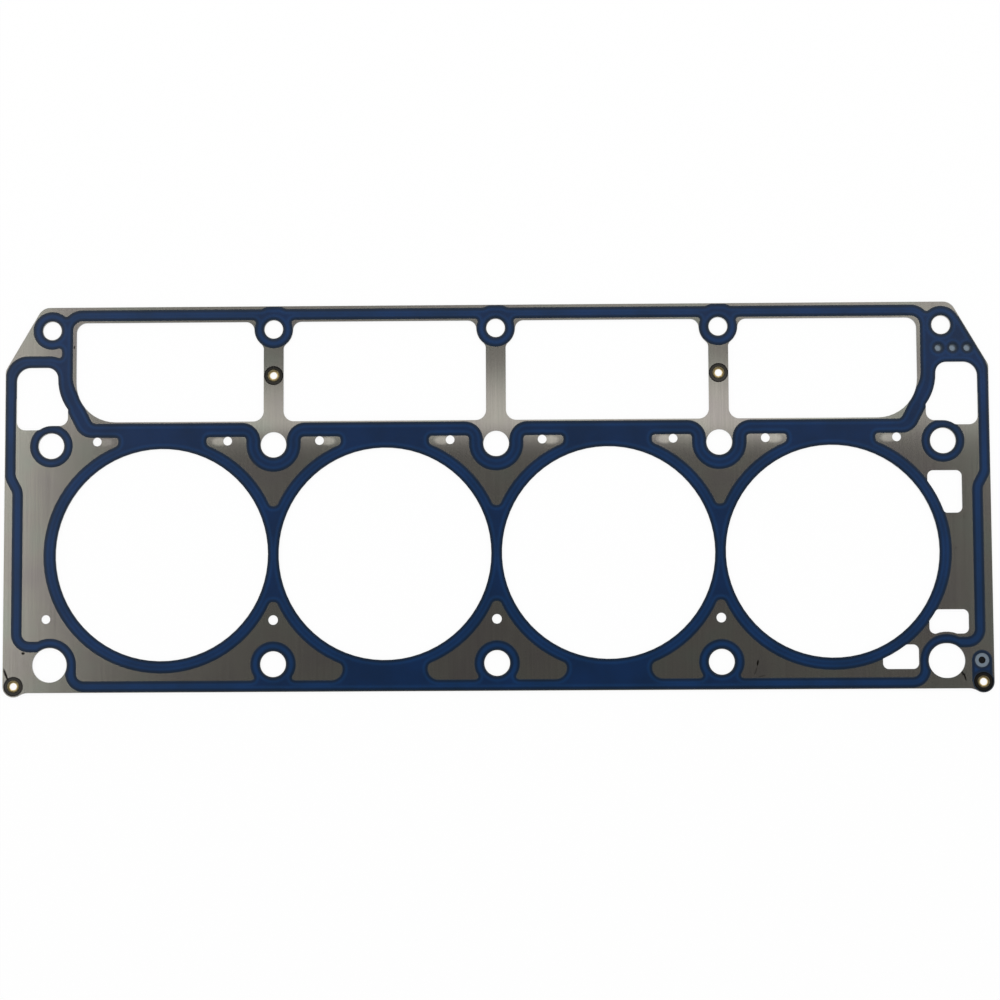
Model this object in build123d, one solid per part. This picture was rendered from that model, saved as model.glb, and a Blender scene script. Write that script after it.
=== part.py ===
"""Multi-layer-steel cylinder head gasket for one bank of a V8 engine, lying flat, block side down.

X runs along the row of cylinders, Y towards the valley between the banks and Z up, away from the block.
The origin is on the cylinders' centre line, midway along the row, on the plane that the block's face meets.
All sizes are in millimetres.
"""

import os

from build123d import *

# The row of cylinders
BORES = 4
BORE_R = 53.2
BORE_BRIDGE = 5.36

# The stack, from the block's face up
SHEET_T = 0.25
SPACER_T = 0.75
PRINT_T = 0.05

# The blank that every layer is stamped to: its edges beyond the bores and beyond the last bolts
VALLEY_DEPTH = 72.0
EXHAUST_DEPTH = 15.6
END_DEPTH = 23.38
SHOULDER_OUT = 4.88
SHOULDER_DROP = 31.9
SHOULDER_TOP_R = 6.5
SHOULDER_SIDE_R = 5.0
EAR_R = 5.4
EAR_RISE = 3.3
EAR_BLEND_R = 8.0

# How much of its shorter wall the rounding of a cut corner may take
ROUNDING_SHARE = 0.8

# Holes for the fasteners and the dowels
HEAD_BOLT_R = 6.4
HEAD_BOLT_GAP = 1.8
DOWEL_R = 8.6
DOWEL_SLOT_TRAVEL = 0.9
VALLEY_BOLT_R = 4.65
VALLEY_BOLT_DROP = 11.75

# Steam holes that bleed the coolant jackets
STEAM_R = 2.2
STEAM_RISE = 2.0
STEAM_FROM_BORE_X = 32.8
LOW_STEAM_R = 2.4
LOW_STEAM_Y = -33.0
END_STEAM_OUT = 1.98
END_STEAM_Y = -32.1

# Pushrod windows and the webs between them
WINDOW_TOP_DROP = 7.9
WINDOW_SILL = 4.25
WINDOW_END_IN = 12.32
WEB_WIDTH = 10.0
WINDOW_CORNER_R = 5.2
WINDOW_END_R = 20.0
VALLEY_BOSS_R = 9.75
BOSS_TOP_R = 4.2
BOSS_WEB_R = 3.4

# Oil drain slots at the two ends
DRAIN_IN = 8.22
DRAIN_WALL = 5.7
DRAIN_RISE = 1.4
DRAIN_FLOOR = 8.1
DRAIN_SWEEP_R = 26.5
DRAIN_SWEEP_IN = 29.62
DRAIN_SWEEP_DROP = 5.7
DRAIN_BOSS_R = 10.25
DRAIN_TOP_INNER_R = 5.5
DRAIN_TOP_OUTER_R = 7.0
DRAIN_LOW_OUTER_R = 4.5
DRAIN_LOW_INNER_R = 4.2
DRAIN_BOSS_BLEND_R = 3.0

# Coolant windows round the last cylinder: left and right edges from the last bolts, bottom and top edges
COOLANT_RING_GAP = 5.9
UPPER_COOLANT = (-8.12, 9.08, 18.75, 40.1)
LOWER_COOLANT = (-8.42, 11.23, -41.6, -29.5)
CORNER_COOLANT = (-31.72, -13.82, -5.85, 6.3)
COOLANT_CORNER_R = 2.9
COOLANT_TIP_R = 1.8
DOWEL_BOSS_R = 14.4

# Sight holes: a row through the top layer, and a stepped pair that ends blind on the bottom layer
SIGHT_R = 1.8
SIGHT_IN = 1.42
SIGHT_RISE = 7.2
SIGHT_PITCH = 7.2
SIGHTS = 3
STEP_SIGHT_IN = 6.0
STEP_SIGHT_RISE = 10.7
STEP_SIGHT_R = 3.5
STEP_SIGHT_INNER_R = 1.75

# Hollow rivets that hold the layers together
RIVET_WEB_DROP = 23.45
RIVET_BORE_R = 1.75
RIVET_BARREL_R = 2.2
RIVET_LIP_R = 3.05
RIVET_LIP_T = 0.12
RIVET_FIT = 0.05
RIVET_SEAT_R = 4.8
RIVET_SEAT_DEPTH = 0.15

# Sealing print: closed lines of elastomer, each as wide as its bead
PRINT_EDGE = 0.25
BORE_PRINT_WIDTH = 6.2
BOLT_PRINT_WIDTH = 4.4
LOW_BOLT_PRINT_WIDTH = 5.05
SADDLE_GAP = 0.2
SADDLE_RISE = 2.0
SADDLE_PRINT_WIDTH = 7.3
SADDLE_BEND_R = 9.2
VALLEY_PRINT_WIDTH = 4.95
VALLEY_BULGE_R = 12.0
TOP_LINE_DROP = 4.2
TOP_LINE_WIDTH = 5.6
SILL_LINE_RISE = 7.6
SILL_LINE_WIDTH = 7.2
TOP_LINE_BEND_R = 7.4
END_LINE_IN = 7.72
SLANT_TOP_DROP = 8.2
SLANT_FOOT_IN = 20.72
SLANT_HEEL_WIDTH = 5.8
SLANT_BEND_R = 15.0
SLANT_HEEL_R = 9.0
SLANT_SHOULDER_IN = 1.92
SLANT_SHOULDER_DROP = 10.7
SLANT_OVERLAP = 8.0
SIDE_LINE_IN = 2.8
SIDE_STEP_IN = 3.85
SIDE_STEP_TOP_Y = 39.3
SIDE_STEP_HEIGHT = 7.1
SIDE_LINE_WIDTH = 5.4
SIDE_STEP_R = 8.0
BOTTOM_LINE_RISE = 3.05
DOWEL_PRINT_WIDTH = 4.75
DOWEL_LINE_IN = 10.62
DOWEL_LINE_RISE = 9.15
DOWEL_BEND_R = 6.6
DRAIN_PRINT_RISE = 5.9
DRAIN_PRINT_R = 11.0
DRAIN_PRINT_IN = 10.02
FILL_HALF_WIDTH = 22.2
LOW_FILL_HALF_WIDTH = 21.3
LOW_FILL_R = 5.5
BRIDGE_WIDTH = 6.0
BRIDGE_END_Y = 24.1
SIGHT_PATCH_WIDTH = 10.2

# Columns of bores and of bolts along the row, which is as long as its bores and bridges make it
BORE_PITCH = 2 * BORE_R + BORE_BRIDGE
BORE_X = [(i - (BORES - 1) / 2) * BORE_PITCH for i in range(BORES)]
BOLT_X = [(i - BORES / 2) * BORE_PITCH for i in range(BORES + 1)]
END_X = BOLT_X[-1]

# Places along X, for the right-hand end
HALF_LENGTH = END_X + END_DEPTH
SHOULDER_X = END_X + SHOULDER_OUT
RIVET_EAR_X = HALF_LENGTH - EAR_R
WINDOW_END_X = END_X - WINDOW_END_IN
DRAIN_INNER_X = END_X - DRAIN_IN
DRAIN_OUTER_X = HALF_LENGTH - DRAIN_WALL
DRAIN_SWEEP_X = END_X - DRAIN_SWEEP_IN
SIGHT_X = END_X - SIGHT_IN
STEP_SIGHT_X = HALF_LENGTH - STEP_SIGHT_IN
END_LINE_X = END_X - END_LINE_IN
SLANT_FOOT_X = END_X - SLANT_FOOT_IN
SLANT_HEEL_X = SLANT_FOOT_X + SLANT_HEEL_WIDTH
SLANT_SHOULDER_X = END_X - SLANT_SHOULDER_IN
SIDE_LINE_X = HALF_LENGTH - SIDE_LINE_IN
SIDE_LINE_INNER_X = SIDE_LINE_X - SIDE_STEP_IN
DOWEL_LINE_X = END_X - DOWEL_LINE_IN
DRAIN_PRINT_INNER_X = END_X - DRAIN_PRINT_IN

# Places along Y, from the bores out to the valley edge and to the exhaust edge
HEAD_BOLT_ROW_Y = BORE_R + HEAD_BOLT_GAP
STEAM_ROW_Y = HEAD_BOLT_ROW_Y + STEAM_RISE
SILL_LINE_Y = HEAD_BOLT_ROW_Y + SILL_LINE_RISE
SILL_LOW_Y = SILL_LINE_Y - SILL_LINE_WIDTH / 2
SILL_TOP_Y = SILL_LINE_Y + SILL_LINE_WIDTH / 2
WINDOW_BOTTOM_Y = SILL_LINE_Y + WINDOW_SILL
VALLEY_EDGE_Y = BORE_R + VALLEY_DEPTH
VALLEY_BOLT_ROW_Y = VALLEY_EDGE_Y - VALLEY_BOLT_DROP
WINDOW_TOP_Y = VALLEY_EDGE_Y - WINDOW_TOP_DROP
TOP_LINE_Y = VALLEY_EDGE_Y - TOP_LINE_DROP
RIVET_WEB_Y = VALLEY_BOLT_ROW_Y - RIVET_WEB_DROP
SHOULDER_Y = VALLEY_EDGE_Y - SHOULDER_DROP
DRAIN_TOP_Y = SHOULDER_Y + DRAIN_RISE
DRAIN_BOTTOM_Y = HEAD_BOLT_ROW_Y + DRAIN_FLOOR
DRAIN_MIDDLE_Y = (DRAIN_TOP_Y + DRAIN_BOTTOM_Y) / 2
DRAIN_SWEEP_Y = DRAIN_TOP_Y - DRAIN_SWEEP_DROP
DRAIN_PRINT_TOP_Y = DRAIN_TOP_Y + DRAIN_PRINT_RISE
SLANT_TOP_Y = DRAIN_TOP_Y - SLANT_TOP_DROP
SLANT_SHOULDER_Y = DRAIN_TOP_Y - SLANT_SHOULDER_DROP
SIGHT_Y = DRAIN_TOP_Y + SIGHT_RISE
SIDE_STEP_LOW_Y = SIDE_STEP_TOP_Y - SIDE_STEP_HEIGHT
DOWEL_LINE_Y = DOWEL_LINE_RISE - HEAD_BOLT_ROW_Y
EXHAUST_EDGE_Y = -BORE_R - EXHAUST_DEPTH
EAR_Y = EXHAUST_EDGE_Y + EAR_RISE
STEP_SIGHT_Y = EAR_Y + STEP_SIGHT_RISE
BOTTOM_LINE_Y = EXHAUST_EDGE_Y + BOTTOM_LINE_RISE

# Outer radii of what goes round the bores and bolts
COOLANT_RING_R = BORE_R + COOLANT_RING_GAP
BORE_PRINT_R = BORE_R + BORE_PRINT_WIDTH
BOLT_PRINT_R = HEAD_BOLT_R + BOLT_PRINT_WIDTH
LOW_BOLT_PRINT_R = HEAD_BOLT_R + LOW_BOLT_PRINT_WIDTH
SADDLE_PRINT_R = HEAD_BOLT_R + SADDLE_PRINT_WIDTH
VALLEY_BOLT_PRINT_R = VALLEY_BOLT_R + VALLEY_PRINT_WIDTH
DOWEL_PRINT_R = DOWEL_R + DOWEL_PRINT_WIDTH

# Height of each layer's underside
BOTTOM_SHEET_Z = 0.0
SPACER_Z = BOTTOM_SHEET_Z + SHEET_T
TOP_SHEET_Z = SPACER_Z + SPACER_T
TOP_PRINT_Z = TOP_SHEET_Z + SHEET_T


def disc(x, y, radius):
    """A flat disc centred on a point."""
    return Pos(x, y) * Circle(radius)


def box(x0, x1, y0, y1):
    """A flat rectangle between two X and two Y values."""
    return Pos((x0 + x1) / 2, (y0 + y1) / 2) * Rectangle(abs(x1 - x0), y1 - y0)


def outline(*corners):
    """A flat face through corners given as (x, y, radius)."""
    points = [(x, y) for x, y, radius in corners]
    return make_face(FilletPolyline(*points, radius=[c[2] for c in corners], close=True))


def rounded(face, *corners):
    """The face with its corner nearest each (x, y, radius) rounded to that radius, or to what its walls allow."""
    for x, y, radius in corners:
        corner = face.vertices().sort_by_distance(Vertex(x, y, 0))[0]
        walls = [edge.length for edge in face.edges() if corner in edge.vertices()]
        face = fillet(corner, min([radius] + [ROUNDING_SHARE * wall for wall in walls]))
    return face


def mirrored(shape, side):
    """The shape for the right-hand end as drawn, or its mirror image for the left."""
    return shape if side > 0 else mirror(shape, about=Plane.YZ)


def blank():
    """The outline that all the layers share, with an ear for a rivet at each low corner."""
    right = [
        (SHOULDER_X, VALLEY_EDGE_Y, SHOULDER_TOP_R),
        (HALF_LENGTH, SHOULDER_Y, SHOULDER_SIDE_R),
        (HALF_LENGTH, EAR_Y, 0),
        (RIVET_EAR_X, EXHAUST_EDGE_Y, 0),
    ]
    left = [(-x, y, radius) for x, y, radius in reversed(right)]
    face = outline(*right, *left)
    foot = (EAR_R**2 - (EXHAUST_EDGE_Y - EAR_Y) ** 2) ** 0.5
    for side in (-1, 1):
        face += disc(side * RIVET_EAR_X, EAR_Y, EAR_R)
    for side in (-1, 1):
        face = rounded(face, (side * (RIVET_EAR_X - foot), EXHAUST_EDGE_Y, EAR_BLEND_R))
    return face


def window(index):
    """One pushrod window, shaped round the bosses of the valley bolts beside it."""
    left_end = index == 0
    right_end = index == BORES - 1
    x0 = -WINDOW_END_X if left_end else BOLT_X[index] + WEB_WIDTH / 2
    x1 = WINDOW_END_X if right_end else BOLT_X[index + 1] - WEB_WIDTH / 2
    face = box(x0, x1, WINDOW_BOTTOM_Y, WINDOW_TOP_Y)
    rise = WINDOW_TOP_Y - VALLEY_BOLT_ROW_Y
    across = (VALLEY_BOSS_R**2 - rise**2) ** 0.5
    down = (VALLEY_BOSS_R**2 - (WEB_WIDTH / 2) ** 2) ** 0.5
    corners = []
    for x, at_end, bolt_x, inward in ((x0, left_end, BOLT_X[index], 1), (x1, right_end, BOLT_X[index + 1], -1)):
        if at_end:
            corners.append((x, WINDOW_TOP_Y, WINDOW_CORNER_R))
            corners.append((x, WINDOW_BOTTOM_Y, WINDOW_END_R))
        else:
            face -= disc(bolt_x, VALLEY_BOLT_ROW_Y, VALLEY_BOSS_R)
            corners.append((bolt_x + inward * across, WINDOW_TOP_Y, BOSS_TOP_R))
            corners.append((x, VALLEY_BOLT_ROW_Y - down, BOSS_WEB_R))
            corners.append((x, WINDOW_BOTTOM_Y, WINDOW_CORNER_R))
    face = face.faces().sort_by(SortBy.AREA)[-1]
    return rounded(Sketch() + face, *corners)


def drain():
    """The oil drain slot of the right-hand end, which bends round the boss of the last head bolt."""
    boss_top = HEAD_BOLT_ROW_Y + DRAIN_BOSS_R
    face = box(DRAIN_INNER_X, DRAIN_OUTER_X, boss_top, DRAIN_TOP_Y)
    face += box(END_X, DRAIN_OUTER_X, DRAIN_BOTTOM_Y, boss_top)
    face -= disc(END_X, HEAD_BOLT_ROW_Y, DRAIN_BOSS_R)
    face -= disc(DRAIN_SWEEP_X, DRAIN_SWEEP_Y, DRAIN_SWEEP_R)
    sweep_x = DRAIN_SWEEP_X + (DRAIN_SWEEP_R**2 - (DRAIN_TOP_Y - DRAIN_SWEEP_Y) ** 2) ** 0.5
    boss_x = END_X + (DRAIN_BOSS_R**2 - (DRAIN_BOTTOM_Y - HEAD_BOLT_ROW_Y) ** 2) ** 0.5
    return rounded(
        face,
        (sweep_x, DRAIN_TOP_Y, DRAIN_TOP_INNER_R),
        (DRAIN_OUTER_X, DRAIN_TOP_Y, DRAIN_TOP_OUTER_R),
        (DRAIN_OUTER_X, DRAIN_BOTTOM_Y, DRAIN_LOW_OUTER_R),
        (boss_x, DRAIN_BOTTOM_Y, DRAIN_BOSS_BLEND_R),
        (DRAIN_INNER_X, boss_top, DRAIN_LOW_INNER_R),
    )


def coolant_window(edges, base_y=0.0):
    """A coolant window of the right-hand end, cut back along the ring round the last cylinder."""
    x0, x1 = (END_X + x for x in edges[:2])
    y0, y1 = (base_y + y for y in edges[2:])
    bore_x = BORE_X[-1]
    face = box(x0, x1, y0, y1) - disc(bore_x, 0, COOLANT_RING_R)
    corners = []
    for y in (y0, y1):
        ring_x = bore_x + max(COOLANT_RING_R**2 - y**2, 0) ** 0.5
        corners.append((x1, y, COOLANT_CORNER_R))
        if ring_x > x0:
            corners.append((ring_x, y, COOLANT_TIP_R))
        else:
            corners.append((x0, y, COOLANT_CORNER_R))
    return rounded(face, *corners)


def steam_holes():
    """The small holes that bleed steam from the block's jacket into the head's."""
    face = disc(-END_X - END_STEAM_OUT, END_STEAM_Y, STEAM_R)
    for bore_x in BORE_X:
        for side in (-1, 1):
            face += disc(bore_x + side * STEAM_FROM_BORE_X, STEAM_ROW_Y, STEAM_R)
    for bolt_x in BOLT_X[1:-1]:
        face += disc(bolt_x, LOW_STEAM_Y, LOW_STEAM_R)
    return face


def fastener_holes(margin=0.0):
    """Head bolt holes in two rows, valley bolt holes in one, and a round and a slotted dowel hole."""
    dowel_r = DOWEL_R + margin
    face = disc(-END_X, -HEAD_BOLT_ROW_Y, dowel_r)
    face += Pos(END_X, -HEAD_BOLT_ROW_Y) * SlotOverall(2 * dowel_r + DOWEL_SLOT_TRAVEL, 2 * dowel_r)
    for bolt_x in BOLT_X:
        face += disc(bolt_x, HEAD_BOLT_ROW_Y, HEAD_BOLT_R + margin)
        face += disc(bolt_x, VALLEY_BOLT_ROW_Y, VALLEY_BOLT_R + margin)
    for bolt_x in BOLT_X[1:-1]:
        face += disc(bolt_x, -HEAD_BOLT_ROW_Y, HEAD_BOLT_R + margin)
    return face


def openings():
    """Every opening that goes through all the layers, the rivets' apart."""
    face = fastener_holes() + steam_holes()
    for bore_x in BORE_X:
        face += disc(bore_x, 0, BORE_R)
    for index in range(BORES):
        face += window(index)
    face += coolant_window(UPPER_COOLANT)
    face += coolant_window(LOWER_COOLANT) - disc(END_X, -HEAD_BOLT_ROW_Y, DOWEL_BOSS_R)
    face += coolant_window(CORNER_COOLANT, -BORE_R)
    right_drain = drain()
    return face + right_drain + mirror(right_drain, about=Plane.YZ)


def line(width, *corners):
    """A print line of even width along corners given as (x, y, radius), its ends included."""
    points = [(x, y) for x, y, radius in corners]
    path = FilletPolyline(*points, radius=[c[2] for c in corners[1:-1]])
    return SlotArc(path.wire(), width)


def round_lines():
    """Print round the bores, the bolts and the bridges between the bores."""
    face = Sketch()
    for bore_x in BORE_X:
        face += disc(bore_x, 0, BORE_PRINT_R)
    for bolt_x in BOLT_X[1:-1]:
        face += disc(bolt_x, -HEAD_BOLT_ROW_Y, LOW_BOLT_PRINT_R)
        face += box(bolt_x - BRIDGE_WIDTH / 2, bolt_x + BRIDGE_WIDTH / 2, -BRIDGE_END_Y, BRIDGE_END_Y)
    for bolt_x in (BOLT_X[0], BOLT_X[-1]):
        face += disc(bolt_x, HEAD_BOLT_ROW_Y, BOLT_PRINT_R)
    for bolt_x in BOLT_X:
        face += disc(bolt_x, VALLEY_BOLT_ROW_Y, VALLEY_BOLT_PRINT_R)
    return face


def saddle(bolt_x):
    """Print that dips from the sill line round a head bolt, and the bare pocket that it leaves above."""
    bend_x = HEAD_BOLT_R + SADDLE_GAP + SADDLE_BEND_R
    bend_y = HEAD_BOLT_ROW_Y + SADDLE_RISE
    face = disc(bolt_x, HEAD_BOLT_ROW_Y, SADDLE_PRINT_R)
    face += box(bolt_x - SADDLE_PRINT_R, bolt_x + SADDLE_PRINT_R, HEAD_BOLT_ROW_Y, SILL_TOP_Y)
    pocket = box(bolt_x - bend_x, bolt_x + bend_x, bend_y, HEAD_BOLT_ROW_Y + 2 * SADDLE_PRINT_R)
    for side in (-1, 1):
        pocket -= disc(bolt_x + side * bend_x, bend_y, SADDLE_BEND_R)
    return face, pocket


def valley_lines():
    """Print round the pushrod windows, from the valley bolts down to the sill above the bores."""
    top_low = TOP_LINE_Y - TOP_LINE_WIDTH / 2
    inner_x = END_LINE_X - TOP_LINE_WIDTH / 2
    outer_x = END_LINE_X + TOP_LINE_WIDTH / 2
    face = line(
        TOP_LINE_WIDTH,
        (-END_LINE_X, SLANT_TOP_Y, 0),
        (-END_LINE_X, TOP_LINE_Y, TOP_LINE_BEND_R),
        (END_LINE_X, TOP_LINE_Y, TOP_LINE_BEND_R),
        (END_LINE_X, SLANT_TOP_Y, 0),
    )
    slant = outline(
        (inner_x, SLANT_TOP_Y + SLANT_OVERLAP, 0),
        (inner_x, SLANT_TOP_Y, SLANT_BEND_R),
        (SLANT_FOOT_X, SILL_TOP_Y, 0),
        (SLANT_FOOT_X - SLANT_OVERLAP, SILL_LOW_Y, 0),
        (SLANT_HEEL_X, SILL_LOW_Y, SLANT_HEEL_R),
        (SLANT_SHOULDER_X, SLANT_SHOULDER_Y, 0),
        (outer_x, SLANT_TOP_Y + SLANT_OVERLAP, 0),
    )
    face += slant
    face += mirror(slant, about=Plane.YZ)
    face += box(-SLANT_FOOT_X, SLANT_FOOT_X, SILL_LOW_Y, SILL_TOP_Y)
    for bore_x in BORE_X:
        face += box(bore_x - FILL_HALF_WIDTH, bore_x + FILL_HALF_WIDTH, BORE_R, SILL_LOW_Y)
    for bolt_x in BOLT_X[1:-1]:
        bulge = disc(bolt_x, VALLEY_BOLT_ROW_Y, VALLEY_BULGE_R)
        face += bulge & box(bolt_x - VALLEY_BULGE_R, bolt_x + VALLEY_BULGE_R, top_low, VALLEY_EDGE_Y)
    return face


def end_lines(side):
    """Print at one end: round the drain slot, down the side and over the dowel to the bottom line."""
    outer_x = SIDE_LINE_X + SIDE_LINE_WIDTH / 2
    dowel_half = DOWEL_R / 2
    face = outline(
        (DRAIN_PRINT_INNER_X, DRAIN_PRINT_TOP_Y, DRAIN_PRINT_R),
        (outer_x, DRAIN_PRINT_TOP_Y, DRAIN_PRINT_R),
        (outer_x, DRAIN_MIDDLE_Y, 0),
        (DRAIN_PRINT_INNER_X, DRAIN_MIDDLE_Y, 0),
    )
    face += line(
        SIDE_LINE_WIDTH,
        (SIDE_LINE_X, DRAIN_MIDDLE_Y, 0),
        (SIDE_LINE_X, SIDE_STEP_TOP_Y, SIDE_STEP_R),
        (SIDE_LINE_INNER_X, SIDE_STEP_LOW_Y, SIDE_STEP_R),
        (SIDE_LINE_INNER_X, DOWEL_LINE_Y, DOWEL_BEND_R),
        (END_X + dowel_half, DOWEL_LINE_Y, 0),
    )
    face += line(
        SIDE_LINE_WIDTH,
        (DOWEL_LINE_X, -HEAD_BOLT_ROW_Y, 0),
        (DOWEL_LINE_X, BOTTOM_LINE_Y, DOWEL_BEND_R),
        (BORE_X[-1], BOTTOM_LINE_Y, 0),
    )
    over_dowel = disc(END_X, -HEAD_BOLT_ROW_Y, DOWEL_PRINT_R)
    face += over_dowel & box(0, END_X + dowel_half, -HEAD_BOLT_ROW_Y, 0)
    face += over_dowel & box(0, SIDE_LINE_INNER_X, DOWEL_LINE_Y, 0)
    face += box(0, BORE_X[-1], BOTTOM_LINE_Y - SIDE_LINE_WIDTH / 2, BOTTOM_LINE_Y + SIDE_LINE_WIDTH / 2)
    fill_x = BORE_X[-2]
    face += box(fill_x - LOW_FILL_HALF_WIDTH, fill_x + LOW_FILL_HALF_WIDTH, BOTTOM_LINE_Y, -BORE_R)
    return mirrored(face, side)


def sight_corner():
    """Filled print that frames the row of sight holes, between a valley bolt and a drain slot."""
    return outline(
        (END_LINE_X, DRAIN_TOP_Y, 0),
        (HALF_LENGTH, DRAIN_TOP_Y, 0),
        (END_X + VALLEY_BOLT_PRINT_R, VALLEY_BOLT_ROW_Y + VALLEY_BOLT_R, 0),
        (END_LINE_X, VALLEY_BOLT_ROW_Y, 0),
    )


def sight_patch():
    """A separate patch of print from the stepped sight hole down to the rivet in the ear."""
    half = SIGHT_PATCH_WIDTH / 2
    face = box(STEP_SIGHT_X - half, STEP_SIGHT_X + half, EAR_Y, STEP_SIGHT_Y)
    return face + disc(STEP_SIGHT_X, STEP_SIGHT_Y, half) + disc(RIVET_EAR_X, EAR_Y, EAR_R)


def print_face():
    """The whole printed area, which stops a little short of the layers' edge."""
    face = round_lines() + valley_lines() + end_lines(-1) + end_lines(1) + sight_corner()
    pockets = Sketch()
    for bolt_x in BOLT_X[1:-1]:
        dip, pocket = saddle(bolt_x)
        face += dip
        pockets += pocket
    face = face - pockets
    for bore_x in BORE_X[1:-1]:
        for side in (-1, 1):
            corner_x = bore_x + side * LOW_FILL_HALF_WIDTH
            face = rounded(face, (corner_x, BOTTOM_LINE_Y + SIDE_LINE_WIDTH / 2, LOW_FILL_R))
    return (face + sight_patch()) & offset(blank(), amount=-PRINT_EDGE)


def rivet_centres():
    """Where the rivets sit: two on webs between the windows, two in the ears."""
    web_x = BOLT_X[-2]
    return [
        (-web_x, RIVET_WEB_Y),
        (web_x, RIVET_WEB_Y),
        (-RIVET_EAR_X, EAR_Y),
        (RIVET_EAR_X, EAR_Y),
    ]


def rivet_discs(radius):
    """A disc of the given radius at each rivet."""
    face = Sketch()
    for x, y in rivet_centres():
        face += disc(x, y, radius)
    return face


def sight_row():
    """The row of sight holes near one drain slot."""
    face = Sketch()
    for i in range(SIGHTS):
        face += disc(SIGHT_X + i * SIGHT_PITCH, SIGHT_Y, SIGHT_R)
    return face


def plate(face, z, thickness):
    """A flat layer stamped from a face."""
    return extrude(Pos(0, 0, z) * face, amount=thickness)


def stamped():
    """The face every layer is stamped to, with its openings and its rivet holes."""
    return blank() - openings() - rivet_discs(RIVET_BARREL_R + RIVET_FIT)


def top_layer(face):
    """Upper outer layer of spring stainless, with its sight holes and a coined seat at each rivet."""
    face = face - sight_row() - disc(STEP_SIGHT_X, STEP_SIGHT_Y, STEP_SIGHT_R)
    seats = plate(rivet_discs(RIVET_SEAT_R), TOP_PRINT_Z - RIVET_SEAT_DEPTH, SHEET_T)
    return plate(face, TOP_SHEET_Z, SHEET_T) - seats


def spacer_layer(face):
    """Plain middle layer that sets the stack's thickness, with the small hole of the stepped pair."""
    return plate(face - disc(STEP_SIGHT_X, STEP_SIGHT_Y, STEP_SIGHT_INNER_R), SPACER_Z, SPACER_T)


def bottom_layer(face):
    """Lower outer layer of spring stainless, with a coined seat for each rivet in its underside."""
    seats = plate(rivet_discs(RIVET_SEAT_R), BOTTOM_SHEET_Z + RIVET_SEAT_DEPTH - SHEET_T, SHEET_T)
    return plate(face, BOTTOM_SHEET_Z, SHEET_T) - seats


def sealing_print():
    """Elastomer printed on the upper outer layer, open over every hole and clear of the fasteners."""
    face = print_face() - openings() - fastener_holes(PRINT_EDGE) - rivet_discs(RIVET_SEAT_R) - sight_row()
    return plate(face - disc(STEP_SIGHT_X, STEP_SIGHT_Y, STEP_SIGHT_R), TOP_PRINT_Z, PRINT_T)


def rivet(x, y):
    """A hollow rivet whose ends are flared out into the seats of the two outer layers."""
    low = BOTTOM_SHEET_Z + RIVET_SEAT_DEPTH
    high = TOP_PRINT_Z - RIVET_SEAT_DEPTH
    profile = Polyline(
        (RIVET_BORE_R, low - RIVET_LIP_T),
        (RIVET_LIP_R, low - RIVET_LIP_T),
        (RIVET_BARREL_R, low),
        (RIVET_BARREL_R, high),
        (RIVET_LIP_R, high + RIVET_LIP_T),
        (RIVET_BORE_R, high + RIVET_LIP_T),
        close=True,
    )
    section = Plane.XZ * make_face(profile)
    return Pos(x, y) * revolve(section, axis=Axis.Z)


os.makedirs("parts", exist_ok=True)
face = stamped()
pieces = {
    "steel_layers": bottom_layer(face) + spacer_layer(face) + top_layer(face),
    "sealing_print": sealing_print(),
    "rivets": Part() + [rivet(x, y) for x, y in rivet_centres()],
}
for name, piece in pieces.items():
    export_step(piece, f"parts/{name}.step")
    size = piece.bounding_box().size
    print(name, round(size.X, 2), round(size.Y, 2), round(size.Z, 3), round(piece.volume, 1), len(piece.solids()))
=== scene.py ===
# %% [markdown]
# # A multi-layer steel cylinder head gasket
# The gasket is a sandwich of thin stainless sheets, with a raised blue rubber
# print that seals every passage and four hollow brass rivets that hold it
# together. Its solids come ready from the CAD model, so this lesson dresses
# them. Blender's own unit is the metre. Numbers are in millimetres here wherever
# the real thing is measured in them, and are scaled when they reach Blender.

import math

import bpy
import numpy as np
from mathutils import Euler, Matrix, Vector
from mathutils.geometry import delaunay_2d_cdt
from mathutils.kdtree import KDTree


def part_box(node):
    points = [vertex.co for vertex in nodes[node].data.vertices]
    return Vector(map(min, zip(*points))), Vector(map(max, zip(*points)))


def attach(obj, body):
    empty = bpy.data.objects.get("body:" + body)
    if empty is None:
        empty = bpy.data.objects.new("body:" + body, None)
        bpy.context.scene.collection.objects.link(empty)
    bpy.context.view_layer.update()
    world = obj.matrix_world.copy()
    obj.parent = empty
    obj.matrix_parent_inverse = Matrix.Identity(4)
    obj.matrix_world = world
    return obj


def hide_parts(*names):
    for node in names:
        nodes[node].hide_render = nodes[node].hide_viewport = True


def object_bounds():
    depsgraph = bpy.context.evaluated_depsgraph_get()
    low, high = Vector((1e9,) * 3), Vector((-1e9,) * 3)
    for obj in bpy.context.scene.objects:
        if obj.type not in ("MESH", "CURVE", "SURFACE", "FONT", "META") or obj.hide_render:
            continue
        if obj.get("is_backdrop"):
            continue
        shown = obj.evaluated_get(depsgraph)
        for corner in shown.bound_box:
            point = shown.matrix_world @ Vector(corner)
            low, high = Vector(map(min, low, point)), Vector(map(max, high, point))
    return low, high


MM = 0.001

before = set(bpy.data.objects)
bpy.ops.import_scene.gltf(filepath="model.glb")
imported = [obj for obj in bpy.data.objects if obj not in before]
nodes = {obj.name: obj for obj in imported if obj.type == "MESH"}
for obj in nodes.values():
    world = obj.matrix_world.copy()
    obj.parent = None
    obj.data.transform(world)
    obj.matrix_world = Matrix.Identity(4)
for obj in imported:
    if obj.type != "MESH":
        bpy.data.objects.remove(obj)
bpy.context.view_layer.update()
scene = bpy.context.scene

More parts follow.
